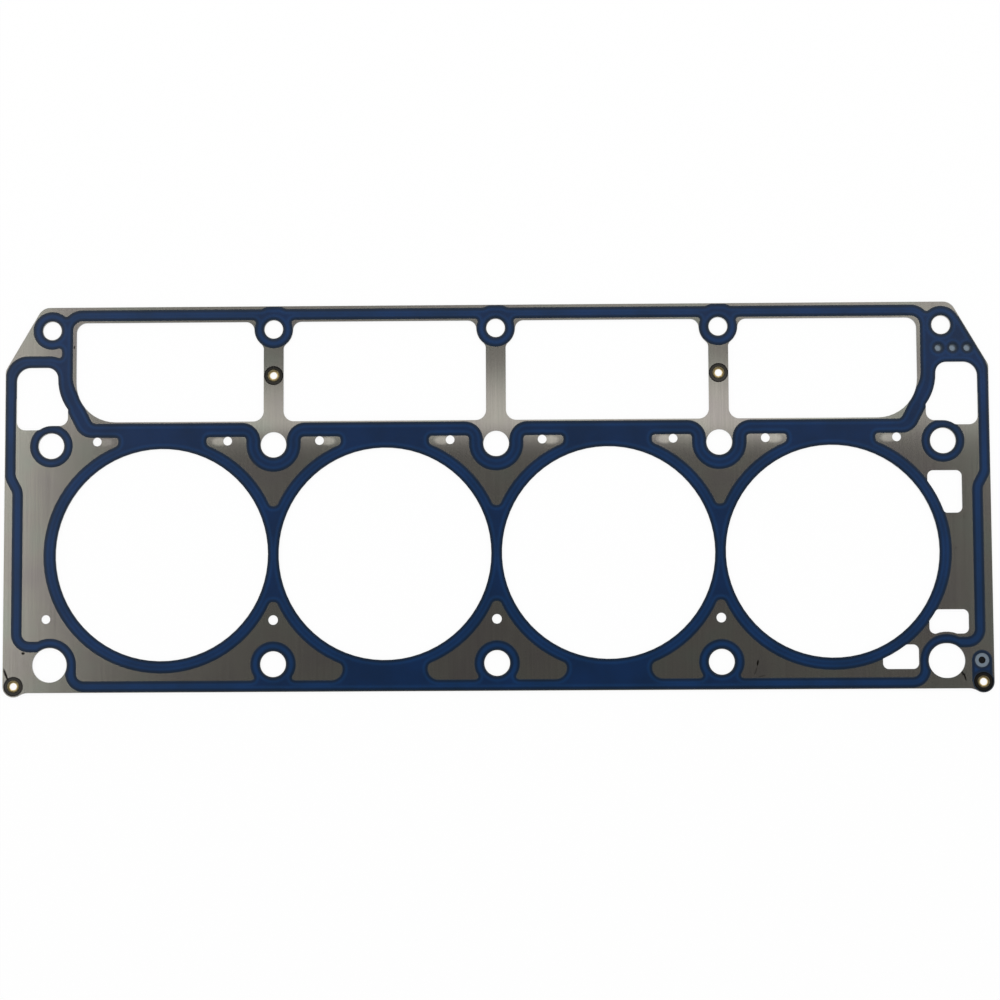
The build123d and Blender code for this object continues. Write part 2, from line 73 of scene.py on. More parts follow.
# %% [markdown]
# ## The camera
# A long lens stands almost straight above the gasket, about 1.4 m up and leaning
# a few degrees, so the far edge looks a little narrower than the near one.
# A plain perspective camera does this, with no shift and no depth of field.

# %% camera
CAMERA_PLACE = (0.02205, -0.10073, 1.41543)  # metres
CAMERA_TURN = (0.08962, 0.01476, -0.00490)  # radians
SENSOR_MM = 36.0
FOCAL_PIXELS = 2837.5
FRAME_PIXELS = 1000

camera_data = bpy.data.cameras.new("camera")
camera_data.sensor_width = SENSOR_MM
camera_data.lens = SENSOR_MM * FOCAL_PIXELS / FRAME_PIXELS
camera = bpy.data.objects.new("camera", camera_data)
camera.location = CAMERA_PLACE
camera.rotation_euler = Euler(CAMERA_TURN, "XYZ")
scene.collection.objects.link(camera)
scene.camera = camera
print("lens, mm:", round(camera_data.lens, 1))

# %% [markdown]
# ## Tools for materials
# Colours are written as sRGB hex values, as a paint program shows them, but
# Blender mixes light in linear values, so one function turns one into the other.
# A second function adds a node with its settings and its links in one call, so
# that a material reads as a list of what is done to the surface.

# %% colour and node helpers
# A Mix node has sockets of the same name for numbers and for colours, so its colours go by their place.
SHARE, UNDER, OVER = 0, 6, 7
COLOURS = {"data_type": "RGBA", "out": 2}


def linear(hex_value):
    """An sRGB hex colour as the linear values that Blender mixes, by the curve of the sRGB standard."""
    channels = []
    for start in (0, 2, 4):
        c = int(hex_value[start:start + 2], 16) / 255
        channels.append(c / 12.92 if c <= 0.04045 else ((c + 0.055) / 1.055) ** 2.4)
    return (*channels, 1.0)


def add(tree, kind, links=None, values=None, stops=None, out=0, **settings):
    """Adds a node: links and values go to its inputs, stops to its colour ramp. Gives back one output."""
    node = tree.nodes.new(kind)
    for name, value in settings.items():
        setattr(node, name, value)
    for key, value in (values or {}).items():
        node.inputs[key].default_value = value
    for key, source in (links or {}).items():
        tree.links.new(source, node.inputs[key])
    if stops:
        elements = node.color_ramp.elements
        while len(elements) < len(stops):
            elements.new(0.5)
        for element, (place, colour) in zip(elements, stops):
            element.position = place
            element.color = linear(colour)
    return node.outputs[out] if len(node.outputs) else None


def new_material(name):
    """An empty node material and its tree."""
    material = bpy.data.materials.new(name)
    material.use_nodes = True
    material.node_tree.nodes.clear()
    return material, material.node_tree


print("sRGB 808080 is linear", round(linear("808080")[0], 3))

# %% [markdown]
# ## Cold-rolled stainless steel
# The outer sheets are spring-hard stainless steel, rolled between smooth rollers.
# That leaves a grey half-mirror with faint lines along the rolling direction, and
# a thin film of oil gives it a hint of pink here and green there. A metal has no
# colour of its own beside what it mirrors, so the base colour stays pale and the
# ceiling of the studio makes it dark or light. The rolling lines are a few
# hundredths of a millimetre apart, and are drawn 0.7 mm apart so that they show.

# %% rolled sheet
OIL_CLOUDS_PER_MM = 0.035
LINES_PER_MM = 1.4
LINE_ENDS_PER_MM = 0.02


def in_millimetres(tree):
    """A point's place on the gasket, in millimetres."""
    place = add(tree, "ShaderNodeTexCoord", out="Object")
    return add(tree, "ShaderNodeVectorMath", {0: place}, {"Scale": 1 / MM}, operation="SCALE")


steel, t = new_material("stainless_steel_cold_rolled")
in_mm = in_millimetres(t)
along, across, height = (add(t, "ShaderNodeSeparateXYZ", {0: in_mm}, out=axis) for axis in "XYZ")

cloud = add(t, "ShaderNodeTexNoise", {"Vector": in_mm},
            {"Scale": OIL_CLOUDS_PER_MM, "Detail": 3.0, "Roughness": 0.5})
oiled = add(t, "ShaderNodeValToRGB", {0: cloud}, stops=((0.32, "A39D98"), (0.5, "A8A49B"), (0.68, "A6A89D")))
line_space = add(t, "ShaderNodeMapping", {0: in_mm}, {"Scale": (LINES_PER_MM, LINE_ENDS_PER_MM, 1.0)})
lines = add(t, "ShaderNodeTexNoise", {"Vector": line_space}, {"Scale": 1.0, "Detail": 2.0})
line_tone = add(t, "ShaderNodeValToRGB", {0: lines}, stops=((0.3, "F1F1F1"), (0.7, "FFFFFF")))
sheet = add(t, "ShaderNodeMix", {UNDER: oiled, OVER: line_tone}, {SHARE: 1.0},
            blend_type="MULTIPLY", **COLOURS)

# %% [markdown]
# ## The layers behind the top sheet
# A spacer with a blue-grey zinc skin lies between the two outer sheets. It shows
# on every cut edge, with a fine dark joint above and below it, and at the bottom
# of the sight holes. In the stepped sight hole the lowest sheet lies in the dark.
# The solid is one piece, but these places differ from its top by their height
# and by the way they face, so one mask finds the walls and another the floors.

# %% spacer and joints
SPACER_LOW_MM, SPACER_TOP_MM, STEEL_TOP_MM = 0.25, 1.0, 1.25
JOINT_MM = 0.02
SLACK_MM = 0.05  # how far a mask reaches past the face or edge that it is meant for
LEVEL_FROM = 0.5  # a face is level where the upright part of its normal is over this

facing = add(t, "ShaderNodeSeparateXYZ", {0: add(t, "ShaderNodeNewGeometry", out="Normal")}, out="Z")
tilt = add(t, "ShaderNodeMath", {0: facing}, operation="ABSOLUTE")
wall = add(t, "ShaderNodeMath", {0: tilt}, {1: LEVEL_FROM}, operation="LESS_THAN")
upward = add(t, "ShaderNodeMath", {0: facing}, {1: LEVEL_FROM}, operation="GREATER_THAN")
sunk = add(t, "ShaderNodeMath", {0: height}, {1: SPACER_TOP_MM + SLACK_MM}, operation="LESS_THAN")
sunk_floor = add(t, "ShaderNodeMath", {0: upward, 1: sunk}, operation="MULTIPLY")

level = add(t, "ShaderNodeMath", {0: height}, {1: STEEL_TOP_MM}, operation="DIVIDE")
low, high, joint = (v / STEEL_TOP_MM for v in (SPACER_LOW_MM, SPACER_TOP_MM, JOINT_MM))
edge_tone = add(t, "ShaderNodeValToRGB", {0: level}, stops=(
    (0.0, "A3A098"), (low - joint, "2A2A29"), (low + joint, "8E979E"),
    (high - joint, "2A2A29"), (high + joint, "A3A098")))
# below the spacer's top the floor is near-black: painted shade on the lowest sheet, deep in the stepped
# sight hole
floor_tone = add(t, "ShaderNodeValToRGB", {0: level},
                 stops=((low + joint, "0B0D0E"), (high - joint, "75828E")))
for banded in (edge_tone, floor_tone):
    banded.node.color_ramp.interpolation = "CONSTANT"
print("spacer, mm:", SPACER_LOW_MM, "to", SPACER_TOP_MM)

# %% [markdown]
# ## Painted shadow in the sight holes
# The three sight holes in the upper corner are punched through the blue print.
# The upper-right wall of each casts a shadow on its floor, and that shadow is
# painted as a dark crescent, so a lit patch of zinc is left off the middle.
# It is drawn as a distance from a point that stands a little beside the hole's
# axis. The stepped sight hole in the lower corner has no painted shadow.

# %% painted shadow in the sight holes
SIGHT_PLACES = ((222.1, 101.9), (229.3, 101.9), (236.5, 101.9))
SHADOW_SHIFT = (-0.55, -0.5)
SHADOW_FROM, SHADOW_FULL, SHADOW_SHARE = 1.1, 2.0, 0.85


def nearest(tree, distances):
    """The smallest of several distances."""
    least = distances[0]
    for distance in distances[1:]:
        least = add(tree, "ShaderNodeMath", {0: distance, 1: least}, operation="MINIMUM")
    return least


# painted shadow: a dark crescent where each sight hole's upper-right wall shades its floor, measured from a
# lit spot beside the axis
clear = nearest(t, [
    add(t, "ShaderNodeVectorMath", {0: in_mm}, {1: (x + SHADOW_SHIFT[0], y + SHADOW_SHIFT[1], SPACER_TOP_MM)},
        out="Value", operation="DISTANCE") for x, y in SIGHT_PLACES])
painted_shadow = add(t, "ShaderNodeMapRange", {0: clear},
          {"From Min": SHADOW_FROM, "From Max": SHADOW_FULL, "To Min": 0.0, "To Max": SHADOW_SHARE})
upper_half = add(t, "ShaderNodeMath", {0: across}, {1: 0.0}, operation="GREATER_THAN")
painted_shadow_upper = add(t, "ShaderNodeMath", {0: painted_shadow, 1: upper_half}, operation="MULTIPLY")
# 16222E is the colour of the painted shadow on the zinc floor
floor_seen = add(t, "ShaderNodeMix", {SHARE: painted_shadow_upper, UNDER: floor_tone}, {OVER: linear("16222E")}, **COLOURS)
walls = add(t, "ShaderNodeMix", {SHARE: wall, UNDER: sheet, OVER: edge_tone}, **COLOURS)
layered = add(t, "ShaderNodeMix", {SHARE: sunk_floor, UNDER: walls, OVER: floor_seen}, **COLOURS)
print("sight holes with ink:", len(SIGHT_PLACES))

# %% [markdown]
# ## Coined seats round the rivets
# A punch coins a shallow seat for each rivet's roll. The seat's darkness is
# painted shade, blackest at its foot under the roll and along its rim, where it
# lies deepest in shadow. The four rivets stand in mirrored pairs, so folding X
# by its absolute value lets two distances serve all four. Two of them stand one
# cylinder pitch from the middle.

# %% seat shade
PITCH = 111.76
RIVET_PLACES = ((PITCH, 90.0), (241.5, -65.5))
SEAT_R = 4.8


def from_rivet(tree, vector):
    """How far a point lies from the axis of the nearest rivet."""
    x, y = (add(tree, "ShaderNodeSeparateXYZ", {0: vector}, out=axis) for axis in "XY")
    side = add(tree, "ShaderNodeMath", {0: x}, operation="ABSOLUTE")
    folded = add(tree, "ShaderNodeCombineXYZ", {"X": side, "Y": y})
    return nearest(tree, [
        add(tree, "ShaderNodeVectorMath", {0: folded}, {1: (*rivet, 0.0)}, out="Value", operation="DISTANCE")
        for rivet in RIVET_PLACES])


radius = from_rivet(t, in_mm)
in_seat = add(t, "ShaderNodeMath", {0: radius}, {1: SEAT_R + SLACK_MM}, operation="LESS_THAN")
way_out = add(t, "ShaderNodeMath", {0: radius}, {1: SEAT_R}, operation="DIVIDE")
# painted shade: the seat is near-black at its foot and rim and dark grey between
seat_shade = add(t, "ShaderNodeValToRGB", {0: way_out},
            stops=((0.62, "1C1B1B"), (0.72, "46443F"), (0.86, "42403E"), (0.95, "242322")))
seated = add(t, "ShaderNodeMix", {SHARE: in_seat, UNDER: layered, OVER: seat_shade}, **COLOURS)
print("seats:", 2 * len(RIVET_PLACES))

# %% [markdown]
# ## Handling marks
# A gasket gets scuffed before it is fitted: a few specks, a smear by a rivet, and
# short scratches by the lower bolt and dowel holes. Each mark is a small ellipse.
# A Mapping node of the Texture type moves, turns and scales the surface so that
# the ellipse becomes a circle of radius one, and its length says what lies within.

# %% marks
SOLID_TO, GONE_FROM = 0.75, 1.15  # where a mark starts to fade and where it ends, in radii of the circle
FAINT_SHARE = 0.45
# x, y, half length, half width in mm, angle in degrees
SCUFFS = (
    (-245.3, -59.6, 3.4, 0.6, -68), (-236.7, -49.0, 0.85, 0.7, 0), (-212.4, 105.0, 0.8, 0.4, 80),
    (230.9, -60.8, 1.5, 0.45, -55), (232.3, -63.2, 1.9, 0.4, -72), (231.7, -61.9, 0.9, 0.4, 15),
    (129.6, -55.6, 1.5, 0.45, 82),
)
FAINT_SCUFFS = (
    (229.6, 1.2, 1.0, 0.25, 0), (228.9, 1.2, 0.8, 0.25, 90), (233.5, 16.6, 0.8, 0.3, 0),
    (-97.0, -65.0, 1.2, 0.3, 10), (128.6, -59.6, 2.2, 0.35, 68), (131.6, -62.2, 1.8, 0.3, 12),
)


def marks(tree, vector, places):
    """A mask that is one inside each ellipse and nought outside."""
    gaps = []
    for x, y, length, width, angle in places:
        turned = (0, 0, math.radians(angle))
        local = add(tree, "ShaderNodeMapping", {0: vector}, vector_type="TEXTURE", values={
            "Location": (x, y, STEEL_TOP_MM), "Rotation": turned, "Scale": (length, width, 1.0)})
        gaps.append(add(tree, "ShaderNodeVectorMath", {0: local}, out="Value", operation="LENGTH"))
    return add(tree, "ShaderNodeMapRange", {0: nearest(tree, gaps)},
               {"From Min": SOLID_TO, "From Max": GONE_FROM, "To Min": 1.0, "To Max": 0.0})


# besides the handling marks, this colour carries the painted shade of the seats and floors and the painted
# shadow in the sight holes
scuffed_and_shaded = add(t, "ShaderNodeMix", {SHARE: marks(t, in_mm, SCUFFS), UNDER: seated}, {OVER: linear("26231F")},
              **COLOURS)
faint = add(t, "ShaderNodeMath", {0: marks(t, in_mm, FAINT_SCUFFS)}, {1: FAINT_SHARE}, operation="MULTIPLY")
worn_and_shaded = add(t, "ShaderNodeMix", {SHARE: faint, UNDER: scuffed_and_shaded}, {OVER: linear("3A3732")}, **COLOURS)
print("marks:", len(SCUFFS) + len(FAINT_SCUFFS))

# %% [markdown]
# ## The bow of the stamped sheet
# Stamping bows the webs between the windows, so they catch more light at their
# feet. The wide ends are stiffer and bow less. The bow is hundredths of a
# millimetre deep, which a solid can't show, so the material leans the normal
# instead: about four degrees at the foot of a web, and less on the way up.

# %% bow
BOW = 0.075
RISE_FROM, RISE_TO = 44.0, 68.0
FALL_TO, FALL_FROM = 108.0, 66.0
STIFF_FROM, STIFF_TO, STIFF_SHARE = 165.0, 200.0, 0.4

rise = add(t, "ShaderNodeMapRange", {0: across},
           {"From Min": RISE_FROM, "From Max": RISE_TO, "To Min": 0.0, "To Max": 1.0},
           interpolation_type="SMOOTHSTEP")
fall = add(t, "ShaderNodeMapRange", {0: across},
           {"From Min": FALL_TO, "From Max": FALL_FROM, "To Min": 0.0, "To Max": BOW},
           interpolation_type="SMOOTHSTEP")
web_bow = add(t, "ShaderNodeMath", {0: rise, 1: fall}, operation="MULTIPLY")
from_middle = add(t, "ShaderNodeMath", {0: along}, operation="ABSOLUTE")
give = add(t, "ShaderNodeMapRange", {0: from_middle},
           {"From Min": STIFF_FROM, "From Max": STIFF_TO, "To Min": 1.0, "To Max": STIFF_SHARE})
bow = add(t, "ShaderNodeMath", {0: web_bow, 1: give}, operation="MULTIPLY")
print("bow, degrees:", round(math.degrees(math.atan(BOW)), 1))

# %% [markdown]
# ## Dimples beside the steam holes
# The punch that pierces a steam hole leaves a small dimple beside it. The eight
# steam holes stand 23 mm from a bolt line, and the bolt lines are one cylinder
# pitch apart, so a ping-pong of X finds all of them with one ellipse.

# %% dimples
STEAM_FROM_BOLT, STEAM_Y = 23.08, 57.0
DIMPLE_SHIFT = (4.2, -0.4)
DIMPLE_HALF = (4.2, 2.3)
DIMPLE_LEAN = 0.04
DIMPLE_FULL_TO, DIMPLE_GONE_FROM = 0.6, 1.15

from_bolt = add(t, "ShaderNodeMath", {0: along}, {1: PITCH / 2}, operation="PINGPONG")
repeated = add(t, "ShaderNodeCombineXYZ", {"X": from_bolt, "Y": across})
dimple_place = add(t, "ShaderNodeMapping", {0: repeated}, vector_type="TEXTURE", values={
    "Location": (STEAM_FROM_BOLT + DIMPLE_SHIFT[0], STEAM_Y + DIMPLE_SHIFT[1], 0.0),
    "Scale": (*DIMPLE_HALF, 1.0)})
dimple = add(t, "ShaderNodeVectorMath", {0: dimple_place}, out="Value", operation="LENGTH")
dimple_lean = add(t, "ShaderNodeMapRange", {0: dimple}, {
    "From Min": DIMPLE_FULL_TO, "From Max": DIMPLE_GONE_FROM, "To Min": DIMPLE_LEAN, "To Max": 0.0})
leaning = add(t, "ShaderNodeMath", {0: bow, 1: dimple_lean}, operation="ADD")
push = add(t, "ShaderNodeCombineXYZ", {"Y": leaning})
straight = add(t, "ShaderNodeNewGeometry", out="Normal")
leaned = add(t, "ShaderNodeVectorMath", {0: straight, 1: push}, operation="ADD")
normal = add(t, "ShaderNodeVectorMath", {0: leaned}, operation="NORMALIZE")
print("dimple, mm:", 2 * DIMPLE_HALF[0], "by", 2 * DIMPLE_HALF[1])

# %% [markdown]
# ## The finished steel
# Stainless steel mirrors whatever stands round it, blurred a little by the
# rollers' texture. The zinc skin of the spacer is matte and looks hardly
# metallic, so the floors of the sight holes get only a small share of metal.

# %% steel shader
ZINC_METALLIC = 0.15

metal = add(t, "ShaderNodeMapRange", {0: sunk_floor}, {"To Min": 1.0, "To Max": ZINC_METALLIC})
shader = add(t, "ShaderNodeBsdfPrincipled", {"Base Color": worn_and_shaded, "Normal": normal, "Metallic": metal},
             {"Roughness": 0.2})
add(t, "ShaderNodeOutputMaterial", {0: shader})
for slot in nodes["steel_layers"].material_slots:
    slot.material = steel
print("steel nodes:", len(t.nodes))

# %% [markdown]
# ## Screen-printed blue elastomer
# The seal is a blue fluorocarbon rubber, squeezed through a screen as a thick
# ink and baked on. It dries with a soft satin skin. Each line is greyer at its
# thin edges, where the steel shows through, and is painted a shade lighter along
# the bead in its middle, a painted highlight on the bead's crest. The piece
# carries its distance from the edge, in millimetres, on every vertex, and the
# material turns that into the bands. The screen's mesh leaves a dimpled skin,
# 0.15 mm apart on the real one and drawn 0.5 mm apart.

# %% blue elastomer
BAND_MM = 3.2
INK_CLOUDS_PER_MM = 0.06
SKIN_PER_MM, SKIN_DEPTH_MM = 2.0, 0.05
PRINT_SPECKS = ((-212.6, 105.0, 0.8, 0.4, 80), (-33.0, 117.5, 0.6, 0.4, 0))

rubber, t = new_material("blue_elastomer_screen_printed")
in_mm = in_millimetres(t)
edge = add(t, "ShaderNodeAttribute", out="Fac", attribute_name="edge_distance")
band = add(t, "ShaderNodeMath", {0: edge}, {1: BAND_MM}, operation="DIVIDE", use_clamp=True)
# the lighter stop about 2 mm in is a painted highlight along the bead's crest
bands_and_bead_highlight = add(t, "ShaderNodeValToRGB", {0: band},
            stops=((0.0, "112232"), (0.28, "041D37"), (0.62, "082F58"), (1.0, "022348")))
cloud = add(t, "ShaderNodeTexNoise", {"Vector": in_mm}, {"Scale": INK_CLOUDS_PER_MM, "Detail": 3.0})
shade = add(t, "ShaderNodeValToRGB", {0: cloud}, stops=((0.35, "D4E6E4"), (0.65, "FCFBFF")))
tinted = add(t, "ShaderNodeMix", {UNDER: bands_and_bead_highlight, OVER: shade}, {SHARE: 1.0},
             blend_type="MULTIPLY", **COLOURS)
specked = add(t, "ShaderNodeMix", {SHARE: marks(t, in_mm, PRINT_SPECKS), UNDER: tinted},
              {OVER: linear("0A0C10")}, **COLOURS)
skin = add(t, "ShaderNodeTexNoise", {"Vector": in_mm}, {"Scale": SKIN_PER_MM, "Detail": 2.0})
skin_bump = add(t, "ShaderNodeBump", {"Height": skin}, {"Strength": 0.15, "Distance": SKIN_DEPTH_MM * MM})
shader = add(t, "ShaderNodeBsdfPrincipled", {"Base Color": specked, "Normal": skin_bump},
             {"Roughness": 0.3, "IOR": 1.37})
add(t, "ShaderNodeOutputMaterial", {0: shader})
print("elastomer nodes:", len(t.nodes))

# %% [markdown]
# ## The print's outline
# The CAD print has square corners where its lines meet, but wet ink draws its
# corners round. A new piece will stand in for it, and takes its outline from the
# CAD node. In a mesh, the outline of the top face is the sides that only one of
# its triangles has, and chained end to end they make closed loops.

# %% read the outlines
TOP_SLACK = 1e-6  # metres
PLAN_DIGITS = 4  # decimals of a millimetre that tell two points apart


def top_loops(name):
    """The closed loops round a node's top face, as arrays of plan points in millimetres."""
    mesh = nodes[name].data
    top = max(v.co.z for v in mesh.vertices) - TOP_SLACK
    edges = set()
    for polygon in mesh.polygons:
        points = [mesh.vertices[i].co for i in polygon.vertices]
        if min(p.z for p in points) < top:
            continue
        keys = [(round(p.x / MM, PLAN_DIGITS), round(p.y / MM, PLAN_DIGITS)) for p in points]
        for a, b in zip(keys, keys[1:] + keys[:1]):
            if (b, a) in edges:
                edges.remove((b, a))
            else:
                edges.add((a, b))
    after = dict(edges)
    loops = []
    while after:
        start, point = after.popitem()
        loop = [start]
        while point != start:
            loop.append(point)
            point = after.pop(point)
        loops.append(np.array(loop))
    return loops


steel_loops = top_loops("steel_layers")
print_loops = top_loops("sealing_print")
print("loops:", len(steel_loops), "round the steel,", len(print_loops), "round the print")

# %% [markdown]
# ## Which corners are free
# A corner that only the ink made is free to be round. A corner that the punch
# cut together with the steel stays sharp. To tell them apart, points are spread
# along the steel's edges and kept in a tree, which finds the nearest one fast.

# %% points on the cut edges
CUT_STEP = 0.25


def divided(loop, step):
    """The loop with every side longer than the step cut into equal parts."""
    points = []
    for a, b in zip(loop, np.roll(loop, -1, axis=0)):
        parts = max(1, math.ceil(np.linalg.norm(b - a) / step))
        points += [a + (b - a) * i / parts for i in range(parts)]
    return np.array(points)


def tree_of(points):
    """A search tree of plan points."""
    tree = KDTree(len(points))
    for i, (x, y) in enumerate(points):
        tree.insert((x, y, 0), i)
    tree.balance()
    return tree


cut_points = np.vstack([divided(loop, CUT_STEP) for loop in steel_loops])
cut_tree = tree_of(cut_points)
print("points on cut edges:", len(cut_points))

# %% [markdown]
# ## Rounding the free corners
# Each free corner gives way to a short curve, a quadratic Bezier, that leaves
# its two sides where a circle of the wanted radius would. Gentle bends get a
# larger circle than full corners. Where two corners stand close, the curve takes
# less than half of the way between them, so that neighbours never meet.

# %% round the corners
CORNER_R, BEND_R = 1.8, 3.2
# radians: the points of a curve turn less than the first, and a full corner more than the second
SHARP_TURN, BEND_TURN = 0.3, 1.25
CUT_REACH = 0.4
NEIGHBOUR_SHARE = 0.45
CURVE_PARTS = 8
TINY = 1e-9  # keeps a division by nought away


def rounded(loop, cut_edge):
    """The loop with its free corners drawn round."""
    before = loop - np.roll(loop, 1, axis=0)
    after = np.roll(loop, -1, axis=0) - loop
    turn = np.arctan2(before[:, 0] * after[:, 1] - before[:, 1] * after[:, 0], (before * after).sum(1))
    place = np.concatenate(([0], np.cumsum(np.linalg.norm(after, axis=1))))
    total = place[-1]
    sharp = [i for i in range(len(loop)) if abs(turn[i]) > SHARP_TURN]
    free = [i for i in sharp if cut_edge.find((*loop[i], 0))[2] > CUT_REACH]

    def apart(i, j):
        """The shorter way round the loop between two of its points."""
        return min((place[j] - place[i]) % total, (place[i] - place[j]) % total)

    def at(s):
        """The place that lies a length s along the loop."""
        s %= total
        i = min(int(np.searchsorted(place, s, side="right")) - 1, len(loop) - 1)
        part = (s - place[i]) / max(place[i + 1] - place[i], TINY)
        return loop[i] + (loop[(i + 1) % len(loop)] - loop[i]) * part

    reach = {}
    for i in free:
        radius = CORNER_R if abs(turn[i]) > BEND_TURN else BEND_R
        limits = [NEIGHBOUR_SHARE * apart(i, j) for j in sharp if j != i]
        reach[i] = min([radius * math.tan(abs(turn[i]) / 2)] + limits)
    points = []
    for i, point in enumerate(loop):
        if i in reach:
            a, b = at(place[i] - reach[i]), at(place[i] + reach[i])
            for k in range(CURVE_PARTS + 1):
                u = k / CURVE_PARTS
                points.append(a * (1 - u) ** 2 + point * 2 * u * (1 - u) + b * u**2)
        elif all(apart(i, j) > reach[j] for j in reach):
            points.append(point)
    return np.array(points)


rounded_loops = [rounded(loop, cut_tree) for loop in print_loops]
print("points before rounding:", sum(map(len, print_loops)), "and after:", sum(map(len, rounded_loops)))

# %% [markdown]
# ## Even spacing
# Good triangles need points that stand about equally far apart. So points that
# nearly fall on one another are dropped, and long sides are divided.

# %% print outline
NEAR_REPEAT = 0.03
STEP = 1.0


def spaced(loop):
    """The loop without the points that nearly repeat the one before."""
    return loop[np.linalg.norm(loop - np.roll(loop, 1, axis=0), axis=1) > NEAR_REPEAT]


outline = [divided(spaced(loop), STEP) for loop in rounded_loops]
border = np.vstack(outline)
print("print outline:", len(outline), "loops,", len(border), "points")

# %% [markdown]
# ## Two questions about a point
# A screen print isn't a slab: its edges slope down and its middle carries a low
# bead. To follow that, the mesh asks of each point whether it lies on the print
# and how far it is from the edge. A line from a point out along X crosses the
# outline an odd number of times if the point is inside.

# %% inside and distance
EDGE_STEP = 0.2
BATCH = 2000


def inside(points, loops):
    """Which points lie within the loops, by counting the sides crossed on the way out along X."""
    a = np.vstack(loops)
    b = np.vstack([np.roll(loop, -1, axis=0) for loop in loops])
    result = np.zeros(len(points), bool)
    for start in range(0, len(points), BATCH):
        p = points[start:start + BATCH]
        py = p[:, 1:2]
        spans = (a[:, 1] > py) != (b[:, 1] > py)
        rise = np.where(b[:, 1] == a[:, 1], TINY, b[:, 1] - a[:, 1])
        x = a[:, 0] + (py - a[:, 1]) / rise * (b[:, 0] - a[:, 0])
        result[start:start + BATCH] = ((spans & (p[:, 0:1] < x)).sum(1) % 2) == 1
    return result


edge_tree = tree_of(np.vstack([divided(loop, EDGE_STEP) for loop in outline]))


def edge_distance(points):
    """How far each point lies from the print's edge."""
    return np.array([edge_tree.find((x, y, 0))[2] for x, y in points])


low, high = border.min(0), border.max(0)
print("middle of the print's box on the print:", bool(inside((low[None] + high) / 2, outline)[0]))

# %% [markdown]
# ## Points over the print
# The height changes fastest near the edge, so two rows of points follow each edge
# along the slope. Further in, a grid of one point every millimetre is enough.
# Each second row of the grid is shifted by half a step, for even triangles.

# %% points over the print
SLOPE_MM = 0.6
INSET_SLACK = 0.06
GRID_ROOM = 0.45


def inset(loop, gap):
    """The loop's points moved into the print, without those that come too near another stretch of edge."""
    run = np.roll(loop, -1, axis=0) - np.roll(loop, 1, axis=0)
    inward = np.column_stack((-run[:, 1], run[:, 0])) / np.linalg.norm(run, axis=1)[:, None]
    moved = loop + inward * gap
    return moved[np.abs(edge_distance(moved) - gap) < INSET_SLACK]


slopes = np.vstack([inset(loop, gap) for loop in outline for gap in (SLOPE_MM / 2, SLOPE_MM)])
columns = np.arange(low[0], high[0], STEP)
rows = np.arange(low[1], high[1], STEP * math.sqrt(3) / 2)
grid = np.array([(x + (k % 2) * STEP / 2, y) for k, y in enumerate(rows) for x in columns])
grid = grid[inside(grid, outline)]
grid = grid[edge_distance(grid) > SLOPE_MM + GRID_ROOM * STEP]
print("slope points:", len(slopes), "grid points:", len(grid))

# %% [markdown]
# ## Joining the points
# Delaunay triangulation joins points into triangles as near to equal-sided as
# they allow, and keeps the sides of the outline that it is given. It fills the
# openings too, so triangles whose middle lies outside the outline are dropped.
# The underside is flat, so its outline is enough there.

# %% join the points
MERGE_MM = 1e-5
ON_EDGE_MM = 0.02

sides, first = [], 0
for loop in outline:
    count = len(loop)
    sides += [(first + i, first + (i + 1) % count) for i in range(count)]
    first += count


def triangulated(points):
    """Delaunay triangles of plan points, kept to the inside of the outline."""
    plan, _, triangles, *_ = delaunay_2d_cdt([Vector(p) for p in points], sides, [], 0, MERGE_MM)
    plan, triangles = np.array([tuple(p) for p in plan]), np.array(triangles)
    return plan, triangles[inside(plan[triangles].mean(1), outline)]


top_plan, top_faces = triangulated([*border, *slopes, *grid])
low_plan, low_faces = triangulated(border)
distance = edge_distance(top_plan)
distance[distance < ON_EDGE_MM] = 0.0
print("top:", len(top_faces), "triangles, underside:", len(low_faces))

# %% [markdown]
# ## Raising the film
# The film has a third of its height at its edge and rises in a soft shoulder.
# The low bead stands a fixed way in from the edge. All of it stays within the
# 0.05 mm of height that the CAD print has, and a rim of upright faces closes it
# down to the flat underside.

# %% raise the film
FILM_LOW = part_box("sealing_print")[0].z / MM
FILM_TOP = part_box("sealing_print")[1].z / MM
EDGE_SHARE, BODY_SHARE, BEAD_SHARE = 0.35, 0.9, 0.1
BEAD_AT, BEAD_HALF = 2.2, 0.9
RIM_DIGITS = 3  # decimals of a millimetre that match a point above to the one below it


def new_piece(name, points, faces, material):
    """A smooth mesh piece that rides with the gasket, from points in millimetres."""
    mesh = bpy.data.meshes.new(name)
    mesh.from_pydata([(x * MM, y * MM, z * MM) for x, y, z in points], [], faces)
    mesh.polygons.foreach_set("use_smooth", [True] * len(mesh.polygons))
    mesh.materials.append(material)
    piece = bpy.data.objects.new(name, mesh)
    scene.collection.objects.link(piece)
    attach(piece, "root")
    return piece


rise = np.clip(distance / SLOPE_MM, 0, 1)
rise = rise * rise * (3 - 2 * rise)
bead = np.exp(-(((distance - BEAD_AT) / BEAD_HALF) ** 2))
thick = EDGE_SHARE + (BODY_SHARE - EDGE_SHARE) * rise + BEAD_SHARE * bead
film = FILM_LOW + (FILM_TOP - FILM_LOW) * thick
points = [(x, y, z) for (x, y), z in zip(top_plan, film)] + [(x, y, FILM_LOW) for x, y in low_plan]

